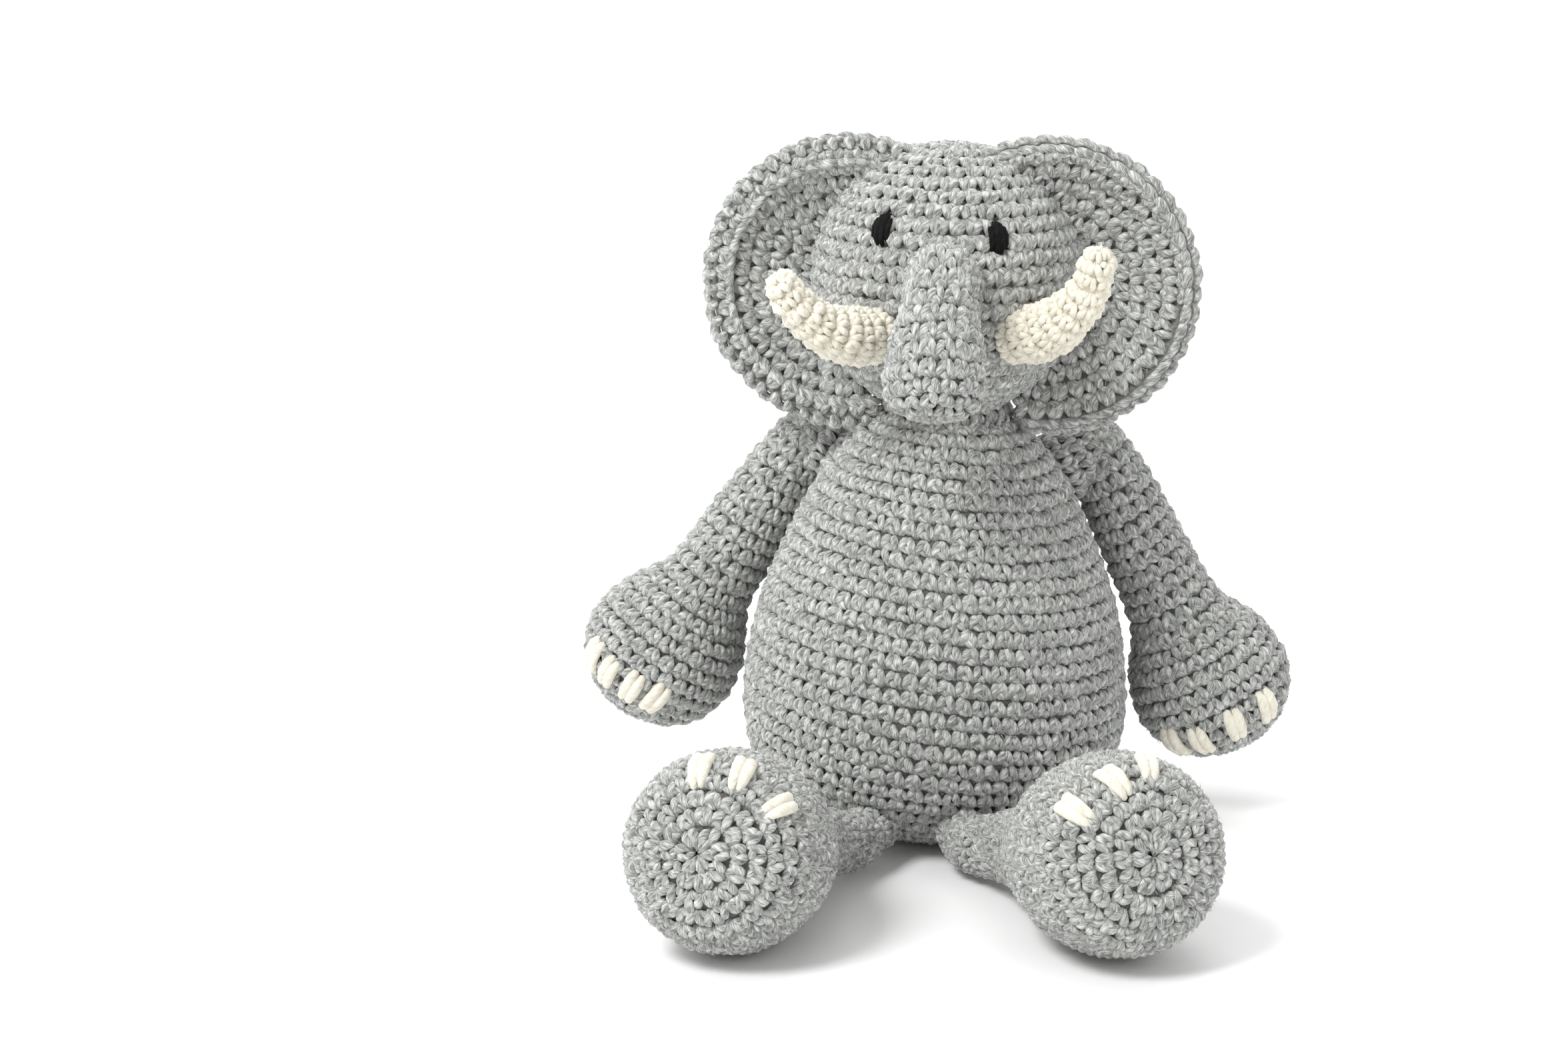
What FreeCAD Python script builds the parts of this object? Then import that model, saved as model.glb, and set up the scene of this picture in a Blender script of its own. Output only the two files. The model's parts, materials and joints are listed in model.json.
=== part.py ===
"""Crocheted stuffed elephant, seated, in millimetres.

+Z is up, the elephant looks along -Y, and its own left side is +X. The origin is on the surface it sits on.
Every skin is a hollow crocheted shell with a separate polyester filling inside it, and the limbs, ears, trunk and
tusks are sewn on with loops of the same yarn.
"""
import FreeCAD, Part
import math
import os

import Sketcher

V = FreeCAD.Vector
DIMS = "dims"

# Driving dimensions, in millimetres and degrees.
SIZES = {
    "wall": 3.2,  # thickness of the crocheted fabric
    "gap": 0.3,  # clearance between a skin and its filling
    "yarn_radius": 1.0,  # sewing yarn, doubled
    "torso_height": 124.5,
    "torso_lean": 4.0,  # how far the neck stands to the left of the seat
    "head_x": 4.0,
    "head_z": 166.0,
    "head_radius": 40.0,
    "head_yaw": -5.0,
    "head_roll": 2.5,
    "neck_z": 130.0,  # centre of the ball that the head nods on
    "neck_ball": 19.5,
    "neck_pocket": 20.0,
    "neck_foot": 125.0,  # underside of the neck filling
    "neck_seam_ring": 20.4,
    "neck_seam_z": 125.75,
    "eye_across": 2.6,
    "eye_tall": 5.2,
    "eye_proud": 1.3,
    "eye_strand_pitch": 1.7,
    "ear_radius": 38.0,
    "ear_dish": 10.0,  # how far the ear's rim stands forward of its middle
    "ear_panel": 2.8,  # thickness of one of the ear's two discs
    "ear_back": 4.0,
    "ear_clearance": 2.8,
    "ear_edging_tube": 2.2,
    "ear_seam_sweep": 104.0,
    "trunk_root_rise": 4.5,  # where the trunk leaves the head, above the head's middle
    "trunk_side": 2.4,  # and turned towards the head's left
    "trunk_droop": 36.0,  # the trunk's direction at its root, below the horizontal
    "trunk_clearance": 0.35,
    "trunk_bend_radius": 60.0,
    "trunk_bend": 35.0,
    "tusk_bend_radius": 32.0,
    "tusk_bend": 64.0,
    "leg_bend_radius": 180.0,
    "leg_bend": 22.0,
    "limb_ring_angle": 42.0,  # a limb's sewing ring on its ball, from the ball's pole
    "limb_ring_tube": 0.75,
    "claw_half_length": 6.0,
    "claw_half_width": 2.1,
    "claw_half_depth": 1.6,
}

# Stations of each turned skin: name, distance along its axis, radius.
TORSO = [
    ("seat", 0.0, 22.0),
    ("seat_edge", 1.4, 30.0),
    ("base", 6.0, 40.0),
    ("hip", 13.0, 48.4),
    ("rump", 24.0, 55.4),
    ("belly", 38.0, 57.6),
    ("waist", 54.0, 56.3),
    ("ribs", 72.0, 52.2),
    ("chest", 90.0, 45.1),
    ("shoulder", 106.0, 36.9),
    ("collar", 117.0, 29.2),
    ("neck", 124.5, 21.6),
]
ARM = [
    ("root", 0.3, 2.4),
    ("crown", 2.2, 6.1),
    ("cap", 5.4, 8.6),
    ("seam", 9.5, 9.5),
    ("upper", 22.0, 11.2),
    ("elbow", 38.0, 12.5),
    ("cuff", 55.0, 13.2),
    ("wrist", 65.0, 13.8),
    ("heel", 72.5, 17.8),
    ("palm", 82.0, 22.8),
    ("knuckle", 92.0, 24.4),
    ("pad", 101.0, 22.2),
    ("edge", 108.0, 16.8),
    ("end", 112.0, 10.6),
    ("tip", 113.6, 5.0),
]
LEG = [
    ("root", 0.3, 2.1),
    ("crown", 1.8, 4.8),
    ("cap", 4.2, 6.5),
    ("seam", 7.2, 7.3),
    ("upper", 21.0, 9.3),
    ("knee", 37.0, 13.0),
    ("shin", 51.0, 17.8),
    ("ankle", 63.0, 22.6),
    ("heel", 75.0, 26.2),
    ("foot", 86.5, 27.3),
    ("toe", 96.0, 26.4),
    ("rim", 102.5, 23.6),
    ("bevel", 107.0, 19.2),
    ("sole_edge", 109.4, 14.4),
    ("sole", 110.2, 9.0),
]
TRUNK = [
    ("root", 0.3, 2.4),
    ("crown", 2.4, 6.4),
    ("cap", 5.6, 8.9),
    ("seam", 10.0, 9.9),
    ("bridge", 17.0, 10.9),
    ("middle", 25.0, 12.6),
    ("lower", 33.0, 14.0),
    ("flare", 39.0, 14.5),
    ("lip", 44.2, 12.9),
    ("rim", 47.4, 9.8),
    ("tip", 48.8, 5.0),
]
TUSK = [
    ("root", 0.0, 7.6),
    ("thick", 6.0, 7.9),
    ("middle", 13.0, 7.6),
    ("curve", 21.0, 6.5),
    ("slim", 28.5, 5.5),
    ("neck", 34.5, 5.0),
    ("knob", 38.6, 4.7),
    ("end", 41.2, 3.7),
    ("tip", 42.2, 2.2),
]
LIMBS = {"torso": TORSO, "arm": ARM, "leg": LEG, "trunk": TRUNK, "tusk": TUSK}

# A shoulder's ball centre, and how far its arm leans out from straight down.
SHOULDERS = {"left": (49.2, 17.0, 112.6, 26.6), "right": (-37.6, 18.0, 115.2, 33.5)}
# A hip's ball centre, and how far its leg splays from straight ahead.
HIPS = {"left": (11.8, -56.5, 9.4, 44.9), "right": (-20.6, -53.8, 9.4, 40.2)}
LEG_RISE = 11.9
EYES = {"left": (16.0, 17.6), "right": (-16.8, 17.9)}  # across and up from the head's middle
EARS = {"left": (30.2, -0.4), "right": (-28.0, 2.0)}  # across and down from the head's middle
# A tusk's start from the head's middle, its direction there, and the direction that it bends towards.
TUSKS = {
    "left": (V(21.0, -33.0, -11.6), V(0.81, -0.57, 0.14), V(0.1, -0.2, 0.97)),
    "right": (V(-19.6, -33.6, -11.4), V(-0.8, -0.59, -0.11), V(-0.45, -0.2, 0.87)),
}
SIDES = {"left": 1, "right": -1}
# Claws round a paw, in degrees from its front (hands) or its top (feet), towards the outside.
HAND_CLAWS = {"left": (-49, -26, 5, 35), "right": (-12, 8, 31, 52)}
FOOT_CLAWS = (-53, -19, 9)

doc = FreeCAD.newDocument("stuffed_elephant")


def make_sheet():
    """The spreadsheet of driving dimensions, one alias for each size and station."""
    sheet = doc.addObject("Spreadsheet::Sheet", DIMS)
    values = dict(SIZES)
    for limb, stations in LIMBS.items():
        for name, along, radius in stations:
            values[f"{limb}_{name}_at"] = along
            values[f"{limb}_{name}_radius"] = radius
    for row, (alias, value) in enumerate(values.items(), 1):
        sheet.set(f"A{row}", alias)
        sheet.set(f"B{row}", str(value))
        sheet.setAlias(f"B{row}", alias)
    doc.recompute()
    return sheet


def cell(alias):
    return f"{DIMS}.{alias}"


def plane_of(body, role):
    return next(f for f in body.Origin.OriginFeatures if f.Role == role)


def normals(stations):
    """Share of an inset that goes inwards and along the axis at each station, from the slope of its neighbours."""
    shares = []
    last = len(stations) - 1
    for i in range(last + 1):
        if i in (0, last):
            shares.append((1.0, 1.0 if i == 0 else -1.0))
            continue
        along = stations[i + 1][1] - stations[i - 1][1]
        rise = stations[i + 1][2] - stations[i - 1][2]
        length = math.hypot(along, rise)
        shares.append((along / length, rise / length))
    return shares


def straight(limb, inset_along):
    """Section offsets of a limb with a straight axis."""
    return "0", inset_along, "0"


def leaning(limb, inset_along):
    """The torso's sections slide sideways as they rise."""
    return f"{cell('torso_lean')} * ({inset_along}) / {cell('torso_height')}", inset_along, "0"


def curled(limb, inset_along):
    """The sections of a trunk, tusk or leg follow an arc, then go straight on from its end."""
    radius, bend = cell(f"{limb}_bend_radius"), cell(f"{limb}_bend")
    turned = f"min(({inset_along}) / {radius} * 180 / pi; {bend})"
    rest = f"(({inset_along}) - {turned} * pi / 180 * {radius})"
    x = f"{radius} * (1 - cos({turned} * 1 deg)) + {rest} * sin({turned} * 1 deg)"
    z = f"{radius} * sin({turned} * 1 deg) + {rest} * cos({turned} * 1 deg)"
    return x, z, turned


def add_section(body, name, radius, place, start_radius):
    """A circle on the body's XY plane, moved along and tilted about Y by the offset expressions."""
    x, z, tilt = place
    sketch = body.newObject("Sketcher::SketchObject", name)
    sketch.AttachmentSupport = [(plane_of(body, "XY_Plane"), "")]
    sketch.MapMode = "FlatFace"
    sketch.addGeometry(Part.Circle(V(0, 0, 0), V(0, 0, 1), start_radius))
    sketch.addConstraint(Sketcher.Constraint("Coincident", 0, 3, -1, 1))
    sketch.addConstraint(Sketcher.Constraint("Radius", 0, start_radius))
    sketch.AttachmentOffset = FreeCAD.Placement(V(0, 0, 0), FreeCAD.Rotation(V(0, 1, 0), 1))
    sketch.setExpression("Constraints[1]", radius)
    sketch.setExpression(".AttachmentOffset.Base.x", x)
    sketch.setExpression(".AttachmentOffset.Base.z", z)
    sketch.setExpression(".AttachmentOffset.Rotation.Angle", tilt)
    return sketch


def add_loft(body, kind, limb, path, inset, tag):
    """A loft through the limb's stations, each one inset by the expression, or 0 for the outer surface."""
    stations = LIMBS[limb]
    sections = []
    for (name, _, radius), (inwards, forwards) in zip(stations, normals(stations)):
        key = f"{limb}_{name}"
        along = f"{cell(key + '_at')} + ({inset}) * {forwards:.4f}"
        size = f"max({cell(key + '_radius')} - ({inset}) * {inwards:.4f}; 0.8)"
        sections.append(add_section(body, f"{tag}_{name}", size, path(limb, along), radius))
    doc.recompute()
    loft = body.newObject(f"PartDesign::{kind}", f"{tag}_loft")
    loft.Profile = sections[0]
    loft.Sections = [(s, [""]) for s in sections[1:]]
    loft.Ruled = False
    loft.Closed = False
    doc.recompute()
    return loft


def add_skin(label, limb, path, placement):
    """A hollow crocheted skin: the outer loft less the loft that is one fabric thickness inside it."""
    body = doc.addObject("PartDesign::Body", label)
    body.Label = label
    add_loft(body, "AdditiveLoft", limb, path, "0", label)
    add_loft(body, "SubtractiveLoft", limb, path, cell("wall"), f"{label}_hollow")
    body.Placement = placement
    return body


def add_filling(label, limb, path, placement):
    """The polyester filling inside a skin."""
    body = doc.addObject("PartDesign::Body", label)
    body.Label = label
    add_loft(body, "AdditiveLoft", limb, path, f"{cell('wall')} + {cell('gap')}", label)
    body.Placement = placement
    return body


def add_sphere(name, radius):
    sphere = doc.addObject("Part::Sphere", name)
    sphere.setExpression("Radius", radius)
    return sphere


def combine(kind, name, base, tool, placement=None):
    """A Part::Cut or Part::Common, named for its sub-part."""
    made = doc.addObject(f"Part::{kind}", name)
    made.Label = name
    made.Base = base
    made.Tool = tool
    if placement is not None:
        made.Placement = placement
    return made


def add_ring(name, ring_radius, tube_radius, placement, angle=360):
    ring = doc.addObject("Part::Torus", name)
    ring.Label = name
    ring.setExpression("Radius1", ring_radius)
    ring.setExpression("Radius2", tube_radius)
    ring.Angle3 = angle
    ring.Placement = placement
    return ring


def turn(axis, degrees):
    return FreeCAD.Rotation(axis, degrees)


def facing(direction, up=V(0, 0, 1)):
    """A rotation that takes local Z to direction, and local X as near to up as it can."""
    z = V(direction).normalize()
    y = z.cross(up).normalize()
    x = y.cross(z)
    return FreeCAD.Rotation(x, y, z, "ZXY")


def join(name, pieces):
    """Several solids that share one node."""
    group = doc.addObject("Part::Compound", name)
    group.Label = name
    group.Links = pieces
    return group


def ball_centre(limb, path):
    """Centre of the rounded end that a limb swings on, in the limb's own frame."""
    along = ball_radius(limb)
    if path is straight:
        return V(0, 0, along)
    radius = SIZES[f"{limb}_bend_radius"]
    return V(radius * (1 - math.cos(along / radius)), 0, radius * math.sin(along / radius))


def ball_radius(limb):
    return next(at for name, at, _ in LIMBS[limb] if name == "seam")


def hung(limb, path, centre, rotation):
    """A limb's placement, with the centre of its rounded end at the given point."""
    return FreeCAD.Placement(centre - rotation.multVec(ball_centre(limb, path)), rotation)


def sewing_ring(name, limb, centre, along):
    """The ring of sewing yarn round a limb's rounded end, on the side away from its paw."""
    tube, angle = SIZES["limb_ring_tube"], math.radians(SIZES["limb_ring_angle"])
    reach = ball_radius(limb) + 0.55 + tube
    away = -along
    at = FreeCAD.Placement(centre + away * reach * math.cos(angle), facing(away))
    text = f"({cell(limb + '_seam_at')} + 0.55 + {cell('limb_ring_tube')}) * sin({cell('limb_ring_angle')} * 1 deg)"
    return add_ring(name, text, cell("limb_ring_tube"), at)


def head_place():
    turned = turn(V(0, 0, 1), SIZES["head_yaw"]).multiply(turn(V(0, 1, 0), SIZES["head_roll"]))
    return FreeCAD.Placement(V(SIZES["head_x"], 0, SIZES["head_z"]), turned)


def make_torso():
    """The pear-shaped body: its skin is open at the neck, where the filling shows through."""
    here = FreeCAD.Placement()
    skin = doc.addObject("PartDesign::Body", "body_shell_closed")
    add_loft(skin, "AdditiveLoft", "torso", leaning, "0", "body_shell")
    add_loft(skin, "SubtractiveLoft", "torso", leaning, cell("wall"), "body_shell_hollow")
    mouth = doc.addObject("Part::Cylinder", "neck_mouth")
    mouth.setExpression("Radius", f"{cell('torso_neck_radius')} - 1.6 * {cell('wall')}")
    mouth.setExpression("Height", f"2 * {cell('wall')}")
    mouth.setExpression(".Placement.Base.x", cell("torso_lean"))
    mouth.setExpression(".Placement.Base.z", f"{cell('torso_height')} - 1.3 * {cell('wall')}")
    shell = combine("Cut", "body_shell", skin, mouth)
    return [shell, add_filling("body_filling", "torso", leaning, here)]


def make_neck():
    """The plug of filling between body and head, cut flat where it rests on the body, and the yarn round it."""
    ball = add_sphere("neck_ball_whole", cell("neck_ball"))
    ball.setExpression(".Placement.Base.x", cell("head_x"))
    ball.setExpression(".Placement.Base.z", cell("neck_z"))
    below = doc.addObject("Part::Cylinder", "below_neck")
    below.setExpression("Radius", f"2 * {cell('neck_ball')}")
    below.setExpression("Height", f"2 * {cell('neck_ball')}")
    below.setExpression(".Placement.Base.x", cell("head_x"))
    below.setExpression(".Placement.Base.z", f"{cell('neck_foot')} - 2 * {cell('neck_ball')}")
    plug = combine("Cut", "neck_filling", ball, below)
    ring = add_ring("neck_seam", cell("neck_seam_ring"), f"{cell('yarn_radius')} - 0.1", FreeCAD.Placement())
    ring.setExpression(".Placement.Base.x", cell("head_x"))
    ring.setExpression(".Placement.Base.z", cell("neck_seam_z"))
    return [plug, ring]


def neck_pocket(name, extra):
    """The ball-shaped space in the head that the neck plug fills, in the head's own frame."""
    pocket = add_sphere(name, f"{cell('neck_pocket')} + {extra}")
    drop = V(0, 0, SIZES["neck_z"] - SIZES["head_z"])
    pocket.Placement.Base = head_place().Rotation.inverted().multVec(drop)
    return pocket


def make_head():
    """The round head, open at the bottom over the neck."""
    outer = add_sphere("head_outer", cell("head_radius"))
    inner = add_sphere("head_inner", f"{cell('head_radius')} - {cell('wall')}")
    hollow = combine("Cut", "head_hollow", outer, inner)
    shell = combine("Cut", "head_shell", hollow, neck_pocket("head_mouth", "0"), head_place())
    core = add_sphere("head_core", f"{cell('head_radius')} - {cell('wall')} - {cell('gap')}")
    filling = combine("Cut", "head_filling", core, neck_pocket("filling_mouth", cell("gap")), head_place())
    return [shell, filling]


def make_eye(side):
    """Three upright strands of black yarn, side by side, half sunk in the fabric."""
    across, up = EYES[side]
    reach = SIZES["head_radius"]
    strands = []
    for i in (-1, 0, 1):
        x = across + i * SIZES["eye_strand_pitch"]
        out = V(x, -math.sqrt(reach**2 - x**2 - up**2), up)
        strand = doc.addObject("Part::Ellipsoid", f"eye_{side}_strand")
        strand.setExpression("Radius1", cell("eye_proud"))
        strand.setExpression("Radius2", cell("eye_tall") if i == 0 else f"0.8 * {cell('eye_tall')}")
        strand.setExpression("Radius3", f"0.5 * {cell('eye_across')}")
        strand.Placement = head_place().multiply(FreeCAD.Placement(out, facing(out)))
        strands.append(strand)
    fused = doc.addObject("Part::MultiFuse", f"eye_{side}")
    fused.Shapes = strands
    fused.Label = f"eye_{side}"
    return [fused]


def ear_room(side):
    """The space that an ear stays out of as it flaps: the head, and a column round the neck."""
    ball = add_sphere(f"ear_{side}_head_room", f"{cell('head_radius')} + {cell('ear_clearance')}")
    column = doc.addObject("Part::Cylinder", f"ear_{side}_neck_room")
    column.setExpression("Radius", f"{cell('neck_pocket')} + 3 * {cell('ear_clearance')}")
    column.setExpression("Height", f"2 * {cell('head_radius')}")
    column.setExpression(".Placement.Base.z", f"-2 * {cell('head_radius')}")
    room = doc.addObject("Part::MultiFuse", f"ear_{side}_room")
    room.Shapes = [ball, column]
    return room


def make_ear(side):
    """Two dished discs, one behind the other, with a crocheted edging round them and a seam along the head."""
    sign = SIDES[side]
    dish, radius = SIZES["ear_dish"], SIZES["ear_radius"]
    ball = (radius**2 + dish**2) / (2 * dish)
    ball_text = f"(({cell('ear_radius')}^2 + {cell('ear_dish')}^2) / (2 * {cell('ear_dish')}))"
    across, drop = EARS[side]
    middle = V(across, SIZES["ear_back"], -drop)
    ball_centre = FreeCAD.Placement(middle - V(0, ball, 0), FreeCAD.Rotation())
    away = ear_room(side)
    made = []
    for panel, inner, outer in (
        ("front", f"- {cell('ear_panel')}", "- 0"),
        ("back", "+ 0.2", f"+ 0.2 + {cell('ear_panel')}"),
    ):
        name = f"ear_{side}_{panel}"
        near, far = add_sphere(f"{name}_near", f"{ball_text} {inner}"), add_sphere(f"{name}_far", f"{ball_text} {outer}")
        near.Placement = far.Placement = ball_centre
        bowl = combine("Cut", f"{name}_bowl", far, near)
        outline = doc.addObject("Part::Cylinder", f"{name}_outline")
        outline.setExpression("Radius", cell("ear_radius"))
        outline.Height = 4 * dish
        outline.Placement = FreeCAD.Placement(middle + V(0, 2 * dish, 0), turn(V(1, 0, 0), 90))
        disc = combine("Common", f"{name}_disc", bowl, outline)
        made.append(combine("Cut", name, disc, away, head_place()))
    rim = FreeCAD.Placement(middle - V(0, dish - 0.2, 0), turn(V(1, 0, 0), 90))
    hoop_radius = f"{cell('ear_radius')} + {cell('ear_edging_tube')} + 0.15"
    hoop = add_ring(f"ear_{side}_hoop", hoop_radius, cell("ear_edging_tube"), rim)
    made.append(combine("Cut", f"ear_{side}_edging", hoop, away, head_place()))
    sweep = SIZES["ear_seam_sweep"]
    start = turn(V(1, 0, 0), 90).multiply(turn(V(0, 0, 1), -sweep / 2 + (0 if sign > 0 else 180)))
    line = SIZES["ear_back"] - 1.0
    seat = f"sqrt({cell('head_radius')}^2 - {line}^2)"
    seam_at = head_place().multiply(FreeCAD.Placement(V(0, line, 0), start))
    made.append(add_ring(f"ear_{side}_seam", seat, f"{cell('yarn_radius')} * 0.8", seam_at, sweep))
    return made


def make_trunk():
    """The drooping trunk, with a rounded root that clears the head as it swings, and its seam on the head."""
    rise, droop = math.radians(SIZES["trunk_root_rise"]), math.radians(SIZES["trunk_droop"])
    side = turn(V(0, 0, 1), SIZES["trunk_side"])
    out = side.multVec(V(0, -math.cos(rise), math.sin(rise)))
    along = side.multVec(V(0, -math.cos(droop), -math.sin(droop)))
    stand = SIZES["head_radius"] + SIZES["trunk_clearance"] + ball_radius("trunk")
    placement = head_place().multiply(hung("trunk", curled, out * stand, facing(along, V(0, 0, -1))))
    seat = out * math.sqrt((SIZES["head_radius"] + SIZES["yarn_radius"]) ** 2 - ball_radius("trunk") ** 2)
    seam_at = head_place().multiply(FreeCAD.Placement(seat, facing(out)))
    return [
        add_skin("trunk_shell", "trunk", curled, placement),
        add_filling("trunk_filling", "trunk", curled, placement),
        add_ring("trunk_seam", cell("trunk_seam_at"), f"0.7 * {cell('yarn_radius')}", seam_at),
    ]


def make_tusk(side):
    """A tusk that curls outwards and up, its open end shaped to the head."""
    start, along, bend_towards = TUSKS[side]
    place = FreeCAD.Placement(V(SIZES["head_x"], 0, SIZES["head_z"]) + start, facing(along, bend_towards))
    skin = doc.addObject("PartDesign::Body", f"tusk_{side}_skin")
    add_loft(skin, "AdditiveLoft", "tusk", curled, "0", f"tusk_{side}_skin")
    add_loft(skin, "SubtractiveLoft", "tusk", curled, f"0.7 * {cell('wall')}", f"tusk_{side}_hollow")
    skin.Placement = place
    core = doc.addObject("PartDesign::Body", f"tusk_{side}_core")
    add_loft(core, "AdditiveLoft", "tusk", curled, f"0.7 * {cell('wall')} + {cell('gap')}", f"tusk_{side}_core")
    core.Placement = place
    seat = add_sphere(f"tusk_{side}_seat", f"{cell('head_radius')} + 0.1")
    seat.Placement = head_place()
    return [
        combine("Cut", f"tusk_{side}_shell", skin, seat),
        combine("Cut", f"tusk_{side}_filling", core, seat),
    ]


def make_claws(limb, side, placement, station, angles, tilt):
    """Claw stitches of doubled cream yarn on a paw, fanned out about the paw's axis at the named station.

    The placement is a frame on the paw's axis at its rounded end, with local X towards the middle of the fan.
    """
    names = [name for name, _, _ in LIMBS[limb]]
    i = names.index(station)
    (_, before, wide), (_, along, radius), (_, after, narrow) = LIMBS[limb][i - 1 : i + 2]
    slope = math.atan2(wide - narrow, after - before)
    claws = []
    for angle in angles:
        spin = turn(V(0, 0, 1), angle)
        out = spin.multVec(V(math.cos(slope), 0, math.sin(slope)))
        at = spin.multVec(V(radius, 0, 0)) + V(0, 0, along)
        lie = facing(out, turn(out, tilt).multVec(V(0, 0, 1)))
        claw = doc.addObject("Part::Ellipsoid", f"{limb}_{side}_claw")
        claw.setExpression("Radius1", cell("claw_half_depth"))
        claw.setExpression("Radius2", cell("claw_half_length"))
        claw.setExpression("Radius3", cell("claw_half_width"))
        claw.Placement = placement.multiply(FreeCAD.Placement(at, lie))
        claws.append(claw)
    return join(f"{limb}_{side}_claws", claws)


def make_arm(side):
    x, y, z, lean = SHOULDERS[side]
    sign = SIDES[side]
    radians = math.radians(lean)
    along = V(sign * math.sin(radians), 0, -math.cos(radians))
    placement = hung("arm", straight, V(x, y, z), facing(along, V(sign, 0, 0)))
    fan = FreeCAD.Placement(placement.Base, facing(along, V(0, -1, 0)))
    angles = [-sign * a for a in HAND_CLAWS[side]]
    return [
        add_skin(f"arm_{side}_shell", "arm", straight, placement),
        add_filling(f"arm_{side}_filling", "arm", straight, placement),
        make_claws("arm", side, fan, "pad", angles, 0),
        sewing_ring(f"arm_{side}_seam", "arm", V(x, y, z), along),
    ]


def make_leg(side):
    x, y, z, splay = HIPS[side]
    sign = SIDES[side]
    out, rise = math.radians(splay), math.radians(LEG_RISE)
    along = V(sign * math.sin(out) * math.cos(rise), -math.cos(out) * math.cos(rise), math.sin(rise))
    placement = hung("leg", curled, V(x, y, z), facing(along, V(-sign, 0, 0)))
    return [
        add_skin(f"leg_{side}_shell", "leg", curled, placement),
        add_filling(f"leg_{side}_filling", "leg", curled, placement),
        make_claws("leg", side, foot_frame(placement, sign), "rim", [-sign * a for a in FOOT_CLAWS], 0),
        sewing_ring(f"leg_{side}_seam", "leg", V(x, y, z), along),
    ]


def foot_frame(placement, sign):
    """The frame on a foot's own axis, which the leg's bend turns and shifts, with local X towards the foot's top."""
    radius, bend = SIZES["leg_bend_radius"], math.radians(SIZES["leg_bend"])
    rest = -radius * bend
    shift = V(radius * (1 - math.cos(bend)) + rest * math.sin(bend), 0, radius * math.sin(bend) + rest * math.cos(bend))
    bent = FreeCAD.Placement(shift, turn(V(0, 1, 0), SIZES["leg_bend"]))
    return placement.multiply(bent).multiply(FreeCAD.Placement(V(), turn(V(0, 0, 1), -sign * 90)))


def check(objects):
    """Stops at the first object that failed to compute, and at a sub-part with no valid solid."""
    for obj in doc.Objects:
        if "Invalid" in obj.State or "Error" in obj.State:
            raise RuntimeError(f"{obj.Name} failed: {obj.State}")
    for obj in objects:
        shape = obj.Shape
        if shape.isNull() or not shape.isValid() or not shape.Solids:
            raise RuntimeError(f"{obj.Label} has no valid solid")


def main():
    make_sheet()
    parts = make_torso() + make_neck() + make_head() + make_trunk()
    for side in SIDES:
        parts += make_eye(side) + make_ear(side) + make_tusk(side) + make_arm(side) + make_leg(side)
    doc.recompute()
    check(parts)
    os.makedirs("parts", exist_ok=True)
    for part in parts:
        part.Shape.exportStep(f"parts/{part.Label}.step")
        print(part.Label, len(part.Shape.Solids), round(part.Shape.Volume))


main()
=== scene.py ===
import json
import math

import bpy
import numpy as np
from mathutils import Matrix, Vector


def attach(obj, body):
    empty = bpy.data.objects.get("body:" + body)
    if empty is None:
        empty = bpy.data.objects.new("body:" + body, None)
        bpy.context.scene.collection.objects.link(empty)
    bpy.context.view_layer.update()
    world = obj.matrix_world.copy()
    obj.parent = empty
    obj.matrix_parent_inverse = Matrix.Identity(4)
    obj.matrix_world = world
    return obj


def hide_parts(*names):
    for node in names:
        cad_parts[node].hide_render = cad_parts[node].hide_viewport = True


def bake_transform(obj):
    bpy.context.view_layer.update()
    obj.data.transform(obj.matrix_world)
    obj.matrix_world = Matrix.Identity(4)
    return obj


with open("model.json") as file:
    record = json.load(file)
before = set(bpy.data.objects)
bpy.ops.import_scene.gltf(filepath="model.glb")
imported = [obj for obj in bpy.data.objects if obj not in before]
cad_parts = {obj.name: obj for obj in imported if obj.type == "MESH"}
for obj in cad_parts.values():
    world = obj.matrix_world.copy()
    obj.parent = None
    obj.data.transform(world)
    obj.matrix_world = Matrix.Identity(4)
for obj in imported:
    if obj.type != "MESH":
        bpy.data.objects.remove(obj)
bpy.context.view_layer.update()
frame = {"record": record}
rng = np.random.default_rng(7)

# Everything below is laid out in millimetres in the row's frame, and scaled on its way into a mesh.
MM = 0.001
STITCH = 5.2  # width of a single crochet stitch
ROUND = 5.0  # height of a round
PROFILE_STEP = 0.5  # spacing of the points that a profile is read at
UV_SPREAD = 400  # how far apart strands may lie in the yarn's pattern

# The turned skins, from the end that each is worked from: distance along the axis, radius.
TORSO = [(0, 0), (0.1, 10), (0.6, 22), (1.9, 31), (6, 40.2), (13, 48.4), (24, 55.4), (38, 57.6), (54, 56.3),
         (72, 52.2), (90, 45.1), (106, 36.9), (117, 29.2), (124.5, 21.8), (125.8, 19.2)]
ARM = [(0, 0), (0.6, 5), (2.6, 11.2), (6.2, 17), (13, 22.2), (22, 24.5), (32, 22.8), (41.5, 17.8), (49, 14.1),
       (59, 13.2), (76, 12.5), (92, 11.2), (101, 10), (106.5, 8.6), (110.5, 6.2), (112.8, 3.2), (113.4, 0)]
LEG = [(0, 0), (0.3, 6), (1.2, 13), (3.6, 19.2), (8, 23.7), (14.5, 26.5), (24, 27.4), (35.5, 26.2),
       (47.5, 22.6), (59.5, 17.8), (73.5, 13), (89.5, 9.4), (101, 8.1), (106, 6.8), (109.2, 4), (110.2, 0)]
TRUNK = [(0, 0), (0.5, 4.6), (1.7, 9.0), (4.8, 12.8), (10, 14.4), (16, 14.0), (24, 12.6), (32, 11.0),
         (39, 10.2), (47, 10.6), (54, 11.6)]
TUSK = [(0, 0), (0.7, 2.6), (2.2, 4.2), (4.4, 4.9), (9, 5.1), (14, 5.6), (21.5, 6.6), (29, 7.7), (36, 8.0),
        (42.2, 7.7), (46, 7.2)]
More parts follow.
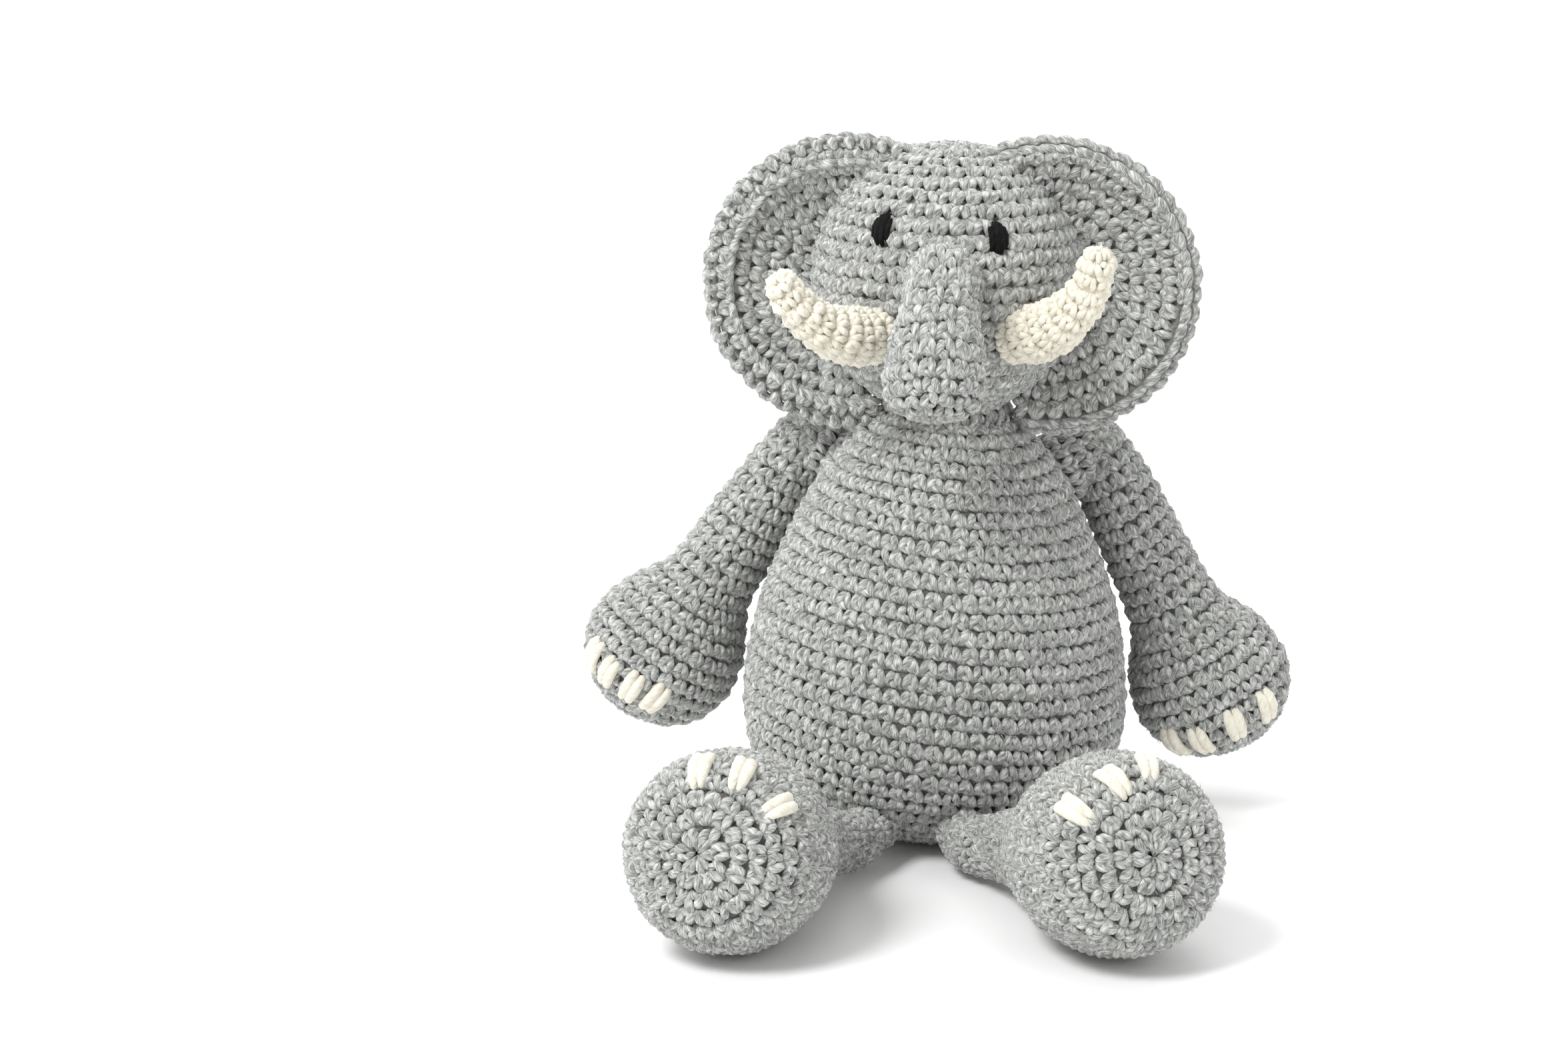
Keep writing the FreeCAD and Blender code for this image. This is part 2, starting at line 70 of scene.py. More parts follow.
NECK = [(0, 19.6), (14, 18.6), (17, 12), (17.5, 0)]
SHOULDER = [(0, 0), (0.9, 3.8), (3.2, 6.6), (6.6, 8.4), (11, 9.2), (17, 10.4), (25, 11.6), (31, 12.4)]
HIP = [(0, 0), (0.8, 4), (5.2, 6.7), (12, 7.4), (20, 8.0), (26, 8.2)]

TORSO_HEIGHT = 126
LEAN = 4.0 / 124.5  # the body's axis drifts to the elephant's left as it rises
TILT = -0.10  # how much the body's rounds slope, per unit of radius
NECK_X = 4.0
NECK_FOOT, NECK_TOP = 122, 140

HEAD_CENTRE = np.array([NECK_X, 0.0, 166.0])
HEAD_RADIUS = 40.2
HEAD_TURN = Matrix.Rotation(math.radians(-5), 3, "Z") @ Matrix.Rotation(math.radians(2.5), 3, "Y")
HX, HY, HZ = np.array(HEAD_TURN).T  # across, back and up from the middle of the head
HEAD_AXES = np.stack([HX, HY, HZ])
EYES = {"left": (16.0, 17.6), "right": (-16.8, 17.9)}  # across and up from the middle of the head

TRUNK_REACH = 50.35  # from the middle of the head to the trunk's hinge
TRUNK_YAW = 2.4
TRUNK_RISE, TRUNK_DROOP = 4.5, 36  # the way out to the hinge, and the way that the trunk leaves it
TRUNK_BEND, TRUNK_BEND_RADIUS, TRUNK_LENGTH, TRUNK_ROOT = 35, 60, 48.8, 10.0

TUSK_BEND, TUSK_BEND_RADIUS, TUSK_LENGTH = 64, 32, 42.2
TUSKS = {  # base from the middle of the head, the way out, and the way that it bends
    "left": ((21.0, -33.0, -11.6), (0.81, -0.57, 0.14), (0.1, -0.2, 0.97)),
    "right": ((-19.6, -33.6, -11.4), (-0.8, -0.59, -0.11), (-0.45, -0.2, 0.87)),
}

EARS = {"left": (30.2, 4, 0.4), "right": (-28.0, 4, -2.0)}  # middle of each disc, from the middle of the head
EAR_RADIUS = 39.0
EAR_FRONT_BALL, EAR_BACK_BALL, EAR_BALL_AHEAD = 74.4, 80.2, 77.2  # the discs are caps of large balls
RIM_FORWARD, RIM_RADIUS, RIM_TUBE = 9.8, 40.0, 1.3
CHAIN_RADIUS, CHAIN_LIFT = 40.35, 1.5
BRAID_IN = {"left": 0.0, "right": 3.6}  # how far inside the rim the front chain lies

ARM_LENGTH, ARM_OVER = 104.1, 9.6  # from the shoulder's hinge to the hand, and past it to the limb's end
SHOULDERS = {"left": ((49.2, 17, 112.6), 26.6), "right": ((-37.6, 18, 115.2), 33.5)}  # hinge, angle outward
LEG_RISE, LEG_BEND, LEG_BEND_RADIUS, LEG_LENGTH, LEG_ROOT = 11.9, 22, 180, 110.2, 7.2
HIPS = {"left": ((11.8, -56.5, 9.4), 44.9), "right": ((-20.6, -53.8, 9.4), 40.2)}  # hinge, splay
SIGN = {"left": 1, "right": -1}  # the elephant's own left is +X
CLAW_ANGLES = {("arm", "left"): (-49, -26, 5, 35), ("arm", "right"): (-12, 8, 31, 52),
               ("leg", "left"): (-53, -19, 9), ("leg", "right"): (-53, -19, 9)}
CLAW_ALONG = {"arm": 12.6, "leg": 7.7}


# Directions and curves.


def vec(*v):
    return np.array(v, float)


def unit(v):
    return v / np.linalg.norm(v)


def units(rows):
    return rows / np.linalg.norm(rows, axis=1)[:, None]


def facing(z, x_near):
    """Columns X, Y, Z of a frame with its Z along z, and its X as near to x_near as it can be."""
    z = unit(z)
    y = unit(np.cross(z, x_near))
    return np.stack([np.cross(y, z), y, z], 1)


def in_head(points):
    """Points given across, back and up from the middle of the head, in the row's frame."""
    return HEAD_CENTRE + np.asarray(points, float) @ HEAD_AXES


def smooth(x, y, t):
    """Monotone cubic through the points, so that a profile has no overshoot."""
    h, d = np.diff(x), np.diff(y) / np.diff(x)
    m = np.zeros(len(x))
    same = d[:-1] * d[1:] > 0
    w1, w2 = 2 * h[1:] + h[:-1], h[1:] + 2 * h[:-1]
    inner = np.zeros(len(x) - 2)
    inner[same] = (w1 + w2)[same] / (w1[same] / d[:-1][same] + w2[same] / d[1:][same])
    m[1:-1] = inner
    m[0], m[-1] = d[0], d[-1]
    i = np.clip(np.searchsorted(x, t) - 1, 0, len(h) - 1)
    u = (t - x[i]) / h[i]
    return (
        (1 + 2 * u) * (1 - u) ** 2 * y[i]
        + u * (1 - u) ** 2 * h[i] * m[i]
        + u**2 * (3 - 2 * u) * y[i + 1]
        + u**2 * (u - 1) * h[i] * m[i + 1]
    )


def cubic(x, y, t):
    """Plain cubic through four points."""
    return np.polyval(np.polyfit(x, y, 3), t)


def bent(start, towards, radius, bend, total, pivot, pivot_at):
    """Points along an axis from its root: an arc of bend degrees, then straight. pivot is at pivot_at."""
    f, turn = facing(start, towards), math.radians(bend)
    along = np.append(np.arange(0, total, 1.0), total)

    def spot(a):
        t = np.minimum(a / radius, turn)
        rest = a - t * radius
        x = radius * (1 - np.cos(t)) + rest * np.sin(t)
        z = radius * np.sin(t) + rest * np.cos(t)
        return x[:, None] * f[:, 0] + z[:, None] * f[:, 2]

    return pivot + spot(along) - spot(np.array([pivot_at]))


class Form:
    """A turned skin about a line: rounds are laid on it by distance along its surface and by angle.

    stations and line run from the end that the skin is worked from.
    """

    def __init__(self, stations, line, x_near):
        st = np.array(stations, float)
        chord = np.concatenate([[0], np.cumsum(np.hypot(*np.diff(st, axis=0).T))])
        t = np.linspace(0, chord[-1], int(chord[-1] / PROFILE_STEP) + 2)
        self.along, self.radius = smooth(chord, st[:, 0], t), np.maximum(smooth(chord, st[:, 1], t), 0)
        da, dr = np.gradient(self.along, t), np.gradient(self.radius, t)
        size = np.hypot(da, dr) + 1e-9
        self.da, self.dr = da / size, dr / size
        self.s = np.concatenate([[0], np.cumsum(np.hypot(np.diff(self.along), np.diff(self.radius)))])
        self.length = self.s[-1]
        # The line's frames, carried along it without twist.
        self.line = np.array(line, float)
        self.run = np.concatenate([[0], np.cumsum(np.linalg.norm(np.diff(self.line, axis=0), axis=1))])
        if len(self.line) > 2:
            ahead = np.gradient(self.line, self.run, axis=0)
        else:
            ahead = np.repeat(self.line[1:] - self.line[:1], 2, 0)
        ahead = units(ahead)
        across = []
        near = np.array(x_near, float)
        for z in ahead:
            near = unit(near - z * (near @ z))
            across.append(near)
        across = np.array(across)
        self.axes = np.stack([across, np.cross(ahead, across), ahead], 2)

    def points(self, a):
        return np.stack([np.interp(a, self.run, self.line[:, i]) for i in range(3)], 1)

    def frames(self, a):
        flat = self.axes.reshape(len(self.run), 9)
        return np.stack([np.interp(a, self.run, flat[:, i]) for i in range(9)], 1).reshape(-1, 3, 3)

    def at(self, s, theta, out):
        """Points at distance s along the skin, angle theta, and out from its surface."""
        a, r = np.interp(s, self.s, self.along), np.interp(s, self.s, self.radius)
        da, dr = np.interp(s, self.s, self.da), np.interp(s, self.s, self.dr)
        centre, frames = self.points(a), self.frames(a)
        radial = frames[..., 0] * np.cos(theta)[:, None] + frames[..., 1] * np.sin(theta)[:, None]
        normal = radial * da[:, None] - frames[..., 2] * dr[:, None]
        return centre + radial * r[:, None] + normal * out[:, None]


class Dish:
    """A dished disc worked in rounds from its middle: one face of an ear. side is 1 where it faces back."""

    def __init__(self, middle, ball, side):
        self.centre = np.array(middle) - vec(0, EAR_BALL_AHEAD, 0)
        self.ball, self.side = ball, side
        self.length = ball * math.asin(EAR_RADIUS / ball)
        self.s = np.linspace(0, self.length, 80)
        self.radius = ball * np.sin(self.s / ball)

    def at(self, s, theta, out):
        phi, t = s / self.ball, theta * self.side
        u = np.stack([np.sin(phi) * np.cos(t), np.cos(phi), np.sin(phi) * np.sin(t)], 1)
        return in_head(self.centre + u * (self.ball + out * self.side)[:, None])


# Arrays of vertices, triangles and UVs.


def stack(*parts):
    """Joins arrays of vertices, triangles and UVs, and an optional material number."""
    verts, faces, uvs, mats, start = [], [], [], [], 0
    for part in parts:
        v, f, uv = part[:3]
        m = part[3] if len(part) > 3 else 0
        verts.append(v)
        faces.append(f + start)
        uvs.append(uv)
        mats.append(np.full(len(f), m) if np.isscalar(m) else m)
        start += len(v)
    return np.concatenate(verts), np.concatenate(faces), np.concatenate(uvs), np.concatenate(mats)


def grid_faces(rows, around, closed=False):
    """Triangles over rows of points that each close on themselves. The last row may join the first."""
    i, j = np.meshgrid(np.arange(rows if closed else rows - 1), np.arange(around), indexing="ij")
    i, j = i.ravel(), j.ravel()
    ahead, beside = (i + 1) % rows, (j + 1) % around
    a, b, c, d = i * around + j, i * around + beside, ahead * around + beside, ahead * around + j
    return np.concatenate([np.stack([a, b, c], 1), np.stack([a, c, d], 1)])


def copied_faces(faces, verts, count):
    """The triangles of count copies of a template that has verts vertices."""
    return (faces[None] + (np.arange(count) * verts)[:, None, None]).reshape(-1, 3)


def copied_uvs(uv, ids, count, strands):
    """UVs for copies of a template, moved apart so that no two strands show the same fibres."""
    shift = rng.uniform(0, UV_SPREAD, (count, strands))[:, ids]
    return (uv[None] + np.stack([np.round(shift), shift * 1.7], -1)).reshape(-1, 2)


# Yarn puffs: short fat tubes with closed ends, made once in a stitch's own millimetres and laid many times.
AROUND = 7
ALONG = 5


def puff(path, radii, flat=0.85):
    """One puff of yarn along a path of four points, as vertices, faces and its own UVs in millimetres."""
    path, radii = np.array(path, float), np.array(radii, float)
    t = np.linspace(0, 1, len(path))
    fine = np.linspace(0, 1, ALONG)
    pts = np.stack([cubic(t, path[:, i], fine) for i in range(3)], 1)
    rad = cubic(t, radii, fine)
    tang = units(np.gradient(pts, axis=0))
    side = units(np.cross(tang, vec(0, 0, 1)))
    up = np.cross(side, tang)
    phi = 2 * math.pi * (np.arange(AROUND) + 0.5) / AROUND - math.pi / 2
    ring = (
        pts[:, None]
        + side[:, None] * (np.cos(phi) * rad[:, None])[..., None]
        + up[:, None] * (np.sin(phi) * rad[:, None] * flat)[..., None]
    )
    ends = np.stack([pts[0] - tang[0] * rad[0] * 0.7, pts[-1] + tang[-1] * rad[-1] * 0.7])
    verts = np.concatenate([ring.reshape(-1, 3), ends])
    run = np.concatenate([[0], np.cumsum(np.linalg.norm(np.diff(pts, axis=0), axis=1))])
    first_end, last_ring = ALONG * AROUND, (ALONG - 1) * AROUND
    uv = np.zeros((len(verts), 2))
    uv[:first_end, 0] = np.tile(np.arange(AROUND) / AROUND, ALONG)
    uv[:first_end, 1] = np.repeat(run, AROUND)
    uv[-2:, 0] = 0.5
    uv[-2:, 1] = [-0.8, run[-1] + 0.8]
    faces = []
    for i in range(ALONG - 1):
        for j in range(AROUND):
            k = (j + 1) % AROUND
            a, b, c, d = i * AROUND + j, i * AROUND + k, (i + 1) * AROUND + k, (i + 1) * AROUND + j
            faces += [(a, c, b), (a, d, c)]
    for j in range(AROUND):
        k = (j + 1) % AROUND
        faces += [(first_end, j, k), (first_end + 1, last_ring + k, last_ring + j)]
    return verts, np.array(faces), uv


def merge(*puffs):
    """Several puffs as one template, with each vertex's own strand number."""
    verts, faces, uvs, ids, start = [], [], [], [], 0
    for i, (v, f, uv) in enumerate(puffs):
        verts.append(v)
        faces.append(f + start)
        uvs.append(uv)
        ids.append(np.full(len(v), i))
        start += len(v)
    return np.concatenate(verts), np.concatenate(faces), np.concatenate(uvs), np.concatenate(ids)


def stitch_template(slant, fat, droop, top):
    """A single crochet stitch from outside: a V of two strands, and the loop between it and the next V."""
    w, h = STITCH, ROUND
    return merge(
        puff([(-0.43 * w, top * h, -1.1), (-0.37 * w, 0.78 * h, 0.2), (-0.22 * w, 0.46 * h, 0.45),
              ((-0.04 + slant) * w, 0.08 * h, -0.9)], [0.85, 1.25 * fat, 1.32 * fat, 0.8], 0.8),
        puff([(0.36 * w, top * h, -1.05), (0.30 * w, 0.78 * h, 0.25), (0.19 * w, 0.47 * h, 0.4),
              ((0.08 + slant) * w, 0.09 * h, -0.9)], [0.85, 1.25 * fat, 1.25 * fat, 0.75], 0.8),
        puff([(0.20 * w, (0.36 + droop) * h, -0.8), (0.38 * w, 0.30 * h, 0.1), (0.58 * w, 0.25 * h, 0.1),
              (0.80 * w, (0.22 - droop) * h, -0.8)], [0.8, 1.2 * fat, 1.22 * fat, 0.8], 0.8),
    )


def strand(length, radius, rise=0.8, bow=0.0, x=0.0):
    """One strand of yarn that comes up, lies on the surface and goes down again, along y."""
    h = length / 2
    return puff([(x, -h, -1.2), (x + bow, -h * 0.45, rise), (x + bow, h * 0.45, rise), (x, h, -1.2)],
                [radius * 0.7, radius, radius, radius * 0.7], 0.9)


def chain_link():
    """Two strands side by side that part and close again, as one link of a chain."""
    half = [(0.35, -3.4, -0.9), (1.75, -1.2, 0.5), (1.9, 1.4, 0.8), (1.25, 3.4, -0.4)]
    radii = [0.8, 1.5, 1.6, 1.0]
    return merge(puff([(-x, y, z) for x, y, z in half], radii), puff(half, radii))


VARIANTS = ((0, 1.04, 0.06), (0.04, 1.09, 0.12), (-0.04, 0.98, -0.02), (0.06, 1.02, 0.15), (0.01, 1.12, 0.03))
# Rounds that stand apart, as on the body, and rounds that run into each other, as on the head.
ROWED = [stitch_template(slant, fat, droop, 1.0) for slant, fat, droop in VARIANTS]
LOCKED = [stitch_template(slant, fat * 1.1, droop, 1.1) for slant, fat, droop in VARIANTS]
CLAW = merge(strand(12.0, 1.7, 0.5, -0.1, -1.25), strand(11.2, 1.7, 0.55, 0.1, 1.25))
EYE = merge(strand(7.0, 1.0, 0.7, -0.2, -1.75), strand(9.8, 1.05, 1.15, -0.05, -0.6),
            strand(10.0, 1.05, 1.2, 0.05, 0.6), strand(7.4, 1.0, 0.75, 0.2, 1.75))
LINK = chain_link()
WHIP = merge(strand(5.6, 0.85, 0.7))
WRAP = merge(puff([(-1.0, -2.6, -0.4), (-0.6, -1.0, 0.5), (0.5, 1.2, 0.5), (1.2, 2.8, -0.4)],
                  [0.8, 1.3, 1.3, 0.8]))


# Laying yarn on a form.


def crochet(form, keep=None, first=0.0, last=None, wide=STITCH, tall=ROUND, size=1.0, tilt=0.0,
            templates=ROWED):
    """A spiral of single crochet over a form, as arrays of vertices, faces and UVs."""
    last = form.length if last is None else last
    rounds = max(int(round(form.length / tall)), 1)
    pitch = form.length / rounds
    s0, angle0, width0, turned = [], [], [], 0.0
    while turned < rounds + 0.5:
        start = max(turned - 0.5, 0) * pitch
        r = np.interp(start + 0.6 * pitch, form.s, form.radius)
        n = max(2 * math.pi * r / wide, 6)
        s0.append(start)
        angle0.append(2 * math.pi * turned)
        width0.append(2 * math.pi / n)
        turned += 1 / n
    s0, angle0, width0 = map(np.array, (s0, angle0, width0))
    mid_s = np.clip(s0 + 0.5 * pitch, 0, form.length)
    chosen = (mid_s >= first) & (mid_s < last)
    if keep is not None:
        chosen &= keep(form.at(mid_s, angle0, np.zeros(len(s0))))
    s0, angle0, width0 = s0[chosen], angle0[chosen], width0[chosen]
    count = len(s0)
    which = rng.integers(0, len(templates), count)
    jig = np.clip(rng.normal(0, 1, (count, 6)), -2, 2)
    parts = []
    for t, (tv, tf, tuv, ids) in enumerate(templates):
        pick = np.flatnonzero(which == t)
        if not len(pick):
            continue
        j = jig[pick]
        lean = 0.07 * j[:, 5:6]
        x = tv[None, :, 0] * (1 + 0.06 * j[:, 0:1]) + 0.2 * j[:, 1:2] - lean * (tv[None, :, 1] - 2.5)
        y = tv[None, :, 1] * (1 + 0.05 * j[:, 2:3]) + 0.2 * j[:, 3:4] + lean * tv[None, :, 0]
        z = tv[None, :, 2] + 0.16 * j[:, 4:5]
        theta = angle0[pick, None] + x / STITCH * width0[pick, None]
        s = s0[pick, None] + y / ROUND * pitch
        if tilt:
            s = s + tilt * np.interp(s, form.s, form.radius) * np.cos(theta)
        s = np.clip(s, 0.02, form.length - 0.02)
        pts = form.at(s.ravel(), theta.ravel(), z.ravel() * size - 1.0)
        parts.append((pts, copied_faces(tf, len(tv), len(pick)), copied_uvs(tuv, ids, len(pick), 3)))
    return stack(*parts)


def ground(form, depth=-1.9, around=64, keep=None, step=2.5, first=0.0, last=None):
    """The closed fabric under the stitches, which shows between them. It takes a piece's second material,
    which on grey pieces is painted shade: a much darker grey than the yarn.
    """
    last = form.length if last is None else last
    s = np.linspace(first, last, max(int((last - first) / step), 4))
    theta = np.linspace(0, 2 * math.pi, around, endpoint=False)
    ss, tt = np.meshgrid(s, theta, indexing="ij")
    pts = form.at(ss.ravel(), tt.ravel(), np.full(ss.size, depth))
    faces = grid_faces(len(s), around)
    if keep is not None:
        faces = faces[keep(pts[faces].mean(1))]
    return pts, faces, np.stack([tt.ravel() * 8, ss.ravel()], 1), 1


def fuzz(form, count, keep=None, first=0.0, last=None):
    """Loose fibres that stand off the yarn: thin tapered ribbons, curled a little."""
    last = form.length if last is None else last
    spread = (form.s >= first) & (form.s <= last)
    weight = np.cumsum(form.radius[spread])
    s0 = np.interp(rng.uniform(0, weight[-1], count), weight, form.s[spread])
    theta0 = rng.uniform(0, 2 * math.pi, count)
    if keep is not None:
        kept = keep(form.at(s0, theta0, np.zeros(count)))
        s0, theta0 = s0[kept], theta0[kept]
        count = len(s0)
    ds, dt = rng.normal(0, 1.1, count), rng.normal(0, 1.1, count)
    rise = rng.uniform(0.5, 1.7, count)
    bend_s, bend_t = rng.normal(0, 0.8, count), rng.normal(0, 0.8, count)
    r = np.maximum(np.interp(s0, form.s, form.radius), 3.0)
    rows = []
    for t in (0.0, 0.4, 0.75, 1.0):
        side = 0.07 * (1 - t) + 0.012
        for sign in (-1, 1):
            s = s0 + ds * t + bend_s * t * t + sign * side * np.sign(dt)
            theta = theta0 + (dt * t + bend_t * t * t + sign * side) / r
            out = -0.4 + rise * (t + 0.25 * math.sin(3 * t))
            rows.append(form.at(np.clip(s, 0, form.length), theta, out))
    pts = np.stack(rows, 1).reshape(-1, 3)
    ribbon = np.array([(0, 1, 3), (0, 3, 2), (2, 3, 5), (2, 5, 4), (4, 5, 7), (4, 7, 6)])
    uv = np.tile(np.array([(0.5 + 0.02 * i, 0.4 * i) for i in range(8)]), (count, 1))
    return pts, copied_faces(ribbon, 8, count), uv


def on_form(form, template, s0, theta0, spin=0.0, lift=0.0, size=1.0):
    """A template laid on a form at one place, turned by spin about the way out."""
    tv, tf, tuv, ids = template
    c, s = math.cos(spin), math.sin(spin)
    x, y = (tv[:, 0] * c - tv[:, 1] * s) * size, (tv[:, 0] * s + tv[:, 1] * c) * size
    r = max(float(np.interp(s0, form.s, form.radius)), 2.0)
    pts = form.at(np.clip(s0 + y, 0, form.length), theta0 + x / r, tv[:, 2] * size + lift)
    across, along = np.round(rng.uniform(0, UV_SPREAD, 9)), rng.uniform(0, UV_SPREAD, 9)
    return pts, tf, tuv + np.stack([across[ids], along[ids]], 1)


def place(template, origin, x, y, z, size=1.0, vary=0.06):
    """Copies of a template at origins, along axes x, y and z that may differ from copy to copy."""
    tv, tf, tuv, ids = template
    n = len(origin)
    scale = size * (1 + vary * rng.normal(0, 1, (n, 1)))
    pts = origin[:, None]
    for i, axis in enumerate((x, y, z)):
        pts = pts + (tv[None, :, i] * scale)[..., None] * axis[:, None]
    return pts.reshape(-1, 3), copied_faces(tf, len(tv), n), copied_uvs(tuv, ids, n, 9)


def whipped(centre, normal, radius, count, turn=0.0, size=1.0):
    """A ring of whip stitches round a join."""
    f = facing(normal, vec(0.3, 0.2, 1) if abs(normal[2]) < 0.9 else vec(1, 0, 0))
    a = 2 * math.pi * np.arange(count) / count
    radial = np.cos(a)[:, None] * f[:, 0] + np.sin(a)[:, None] * f[:, 1]
    up = np.broadcast_to(f[:, 2], radial.shape)
    y = up * math.cos(turn) + np.cross(up, radial) * math.sin(turn)
    return place(WHIP, centre + radial * radius, np.cross(y, radial), y, radial, size)


# Yarns.


def math_node(nt, operation, *values):
    """A Math node's output. Each value is a number, or the socket that feeds it."""
    node = nt.nodes.new("ShaderNodeMath")
    node.operation = operation
    for i, value in enumerate(values):
        if isinstance(value, bpy.types.NodeSocket):
            nt.links.new(value, node.inputs[i])
        else:
            node.inputs[i].default_value = value
    return node.outputs[0]


def noise_node(nt, source, scale, detail, roughness):
    """Noise that is stretched along the strand."""
    mapping = nt.nodes.new("ShaderNodeMapping")
    mapping.inputs["Scale"].default_value = scale
    nt.links.new(source, mapping.inputs[0])
    noise = nt.nodes.new("ShaderNodeTexNoise")
    noise.inputs["Scale"].default_value = 1.0
    noise.inputs["Detail"].default_value = detail
    noise.inputs["Roughness"].default_value = roughness
    nt.links.new(mapping.outputs[0], noise.inputs[0])
    return noise.outputs[0]


def yarn_material(name, dark, mid, light, sheen=0.35, streak=1.0):
    """Spun yarn: fibres run along each strand with a slight twist, and vary from strand to strand."""
    material = bpy.data.materials.new(name)
    material.use_nodes = True
    nt = material.node_tree
    nodes, links = nt.nodes, nt.links
    nodes.clear()
    out = nodes.new("ShaderNodeOutputMaterial")
    bsdf = nodes.new("ShaderNodeBsdfPrincipled")
    links.new(bsdf.outputs[0], out.inputs[0])
    uv = nodes.new("ShaderNodeUVMap")
    uv.uv_map = "yarn"
    split = nodes.new("ShaderNodeSeparateXYZ")
    links.new(uv.outputs[0], split.inputs[0])
    # Twist: the fibres' direction leans across the strand as it runs along.
    twisted = nodes.new("ShaderNodeCombineXYZ")
    links.new(math_node(nt, "MULTIPLY_ADD", split.outputs[1], 0.10, split.outputs[0]), twisted.inputs[0])
    links.new(split.outputs[1], twisted.inputs[1])
    fibres = noise_node(nt, twisted.outputs[0], (22.0, 0.55, 1.0), 3.0, 0.65)
    plies = noise_node(nt, twisted.outputs[0], (5.0, 0.5, 1.0), 1.0, 0.5)
    mix = math_node(nt, "MULTIPLY_ADD", fibres, 0.62, math_node(nt, "MULTIPLY", plies, 0.38))
    ramp = nodes.new("ShaderNodeValToRGB")
    low, high = ramp.color_ramp.elements
    low.position, high.position = 0.38, 0.64
    low.color, high.color = (*dark, 1), (*light, 1)
    ramp.color_ramp.elements.new(0.5).color = (*mid, 1)
    links.new(mix, ramp.inputs[0])
    links.new(ramp.outputs[0], bsdf.inputs["Base Color"])
    bump = nodes.new("ShaderNodeBump")
    bump.inputs["Strength"].default_value = 0.55 * streak
    bump.inputs["Distance"].default_value = 0.0004
    links.new(mix, bump.inputs["Height"])
    links.new(bump.outputs[0], bsdf.inputs["Normal"])
    bsdf.inputs["Roughness"].default_value = 0.88
    bsdf.inputs["Specular IOR Level"].default_value = 0.18
    bsdf.inputs["Sheen Weight"].default_value = sheen
    bsdf.inputs["Sheen Roughness"].default_value = 0.45
    return material


GREY = yarn_material("grey_yarn_spun", (0.13, 0.135, 0.128), (0.37, 0.377, 0.36), (0.75, 0.76, 0.735))
# Painted shade: the fabric under the grey stitches is coloured far darker than the grey yarn, so that the
# gaps between stitches read dark.
GREY_PAINTED_SHADE = yarn_material("grey_yarn_painted_shade", (0.10, 0.103, 0.10), (0.17, 0.173, 0.168),
                          (0.25, 0.253, 0.248), 0.0)
CREAM = yarn_material("cream_yarn_spun", (0.68, 0.63, 0.52), (0.80, 0.765, 0.655), (0.88, 0.855, 0.76),
                      0.3, 0.4)
CREAM_DEEP = yarn_material("cream_yarn_under", (0.76, 0.69, 0.56), (0.80, 0.74, 0.62),
                           (0.84, 0.79, 0.68), 0.0)
BLACK = yarn_material("black_yarn_spun", (0.002, 0.002, 0.002), (0.005, 0.005, 0.005),
                      (0.012, 0.012, 0.012), 0.0)
# The stitches' yarn, then the fabric under them, which on grey pieces is painted shade. Each yarn goes into
# the slot of its CAD material.
SLOTS = {"grey_yarn": [GREY, GREY_PAINTED_SHADE], "cream_yarn": [CREAM, CREAM_DEEP], "black_yarn": [BLACK]}


def mesh_object(name, arrays, materials):
    verts, faces, uvs, mats = arrays
    verts = np.column_stack([verts[:, :2], np.maximum(verts[:, 2], 0)])  # yarn flattens on the floor
    me = bpy.data.meshes.new(name)
    me.vertices.add(len(verts))
    me.vertices.foreach_set("co", (verts * MM).astype(np.float32).ravel())
    me.loops.add(len(faces) * 3)
    me.loops.foreach_set("vertex_index", faces.astype(np.int32).ravel())
    me.polygons.add(len(faces))
    me.polygons.foreach_set("loop_start", np.arange(0, len(faces) * 3, 3, dtype=np.int32))
    me.polygons.foreach_set("material_index", mats.astype(np.int32))
    me.polygons.foreach_set("use_smooth", np.ones(len(faces), bool))
    layer = me.uv_layers.new(name="yarn")
    layer.data.foreach_set("uv", uvs[faces.ravel()].astype(np.float32).ravel())
    me.update(calc_edges=True)
    me.validate()
    for material in materials:
        me.materials.append(material)
    ob = bpy.data.objects.new(name, me)
    bpy.context.scene.collection.objects.link(ob)
    return ob


def add(name, arrays, body, nodes, slot="grey_yarn"):
    """One piece: what it rides (None where it rides nothing), and the CAD nodes that it stands for, which it
    hides.
    """
    ob = mesh_object(name, arrays, SLOTS[slot][: arrays[3].max() + 1])
    if body:
        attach(ob, body)
    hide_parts(*nodes)
    return ob


# Body, neck and head.


def make_body():
    """The body's skin in two halves, worked up from the seat."""
    form = Form(TORSO, [vec(0, 0, 0), vec(TORSO_HEIGHT * LEAN, 0, TORSO_HEIGHT)], vec(1, 0, 0))
    half, overlap, hairs = form.length * 0.516, 4, 1200
    lower = stack(crochet(form, last=half, tilt=TILT), ground(form, around=80, last=half + overlap),
                  fuzz(form, hairs, last=half))
    upper = stack(crochet(form, first=half, tilt=TILT), ground(form, around=80, first=half - overlap),
                  fuzz(form, hairs, first=half))
    add("body_lower", lower, "torso", ["body_shell", "body_filling"])
    add("body_upper", upper, "torso", [])


def make_neck():
    form = Form(NECK, [vec(NECK_X, 0, NECK_FOOT), vec(NECK_X, 0, NECK_TOP)], vec(1, 0, 0))
    add("neck_join", stack(crochet(form), ground(form)), "neck", ["neck_filling"])


def clear_of_neck(p):
    return np.hypot(p[:, 0] - NECK_X, p[:, 1]) + np.maximum(p[:, 2] - NECK_TOP, 0) > 15


def head_form():
    """The head, worked down from the crown."""
    arc = np.linspace(0, math.pi, 60)
    ball = np.stack([HEAD_RADIUS * (1 - np.cos(arc)), HEAD_RADIUS * np.sin(arc)], 1)
    return Form(ball, in_head([(0, 0, HEAD_RADIUS), (0, 0, -HEAD_RADIUS)]), HX)


def make_head(form):
    skin = stack(crochet(form, keep=clear_of_neck, templates=LOCKED), ground(form, around=96),
                 fuzz(form, 2000, keep=clear_of_neck))
    add("head_skin", skin, "head", ["head_shell", "head_filling"])


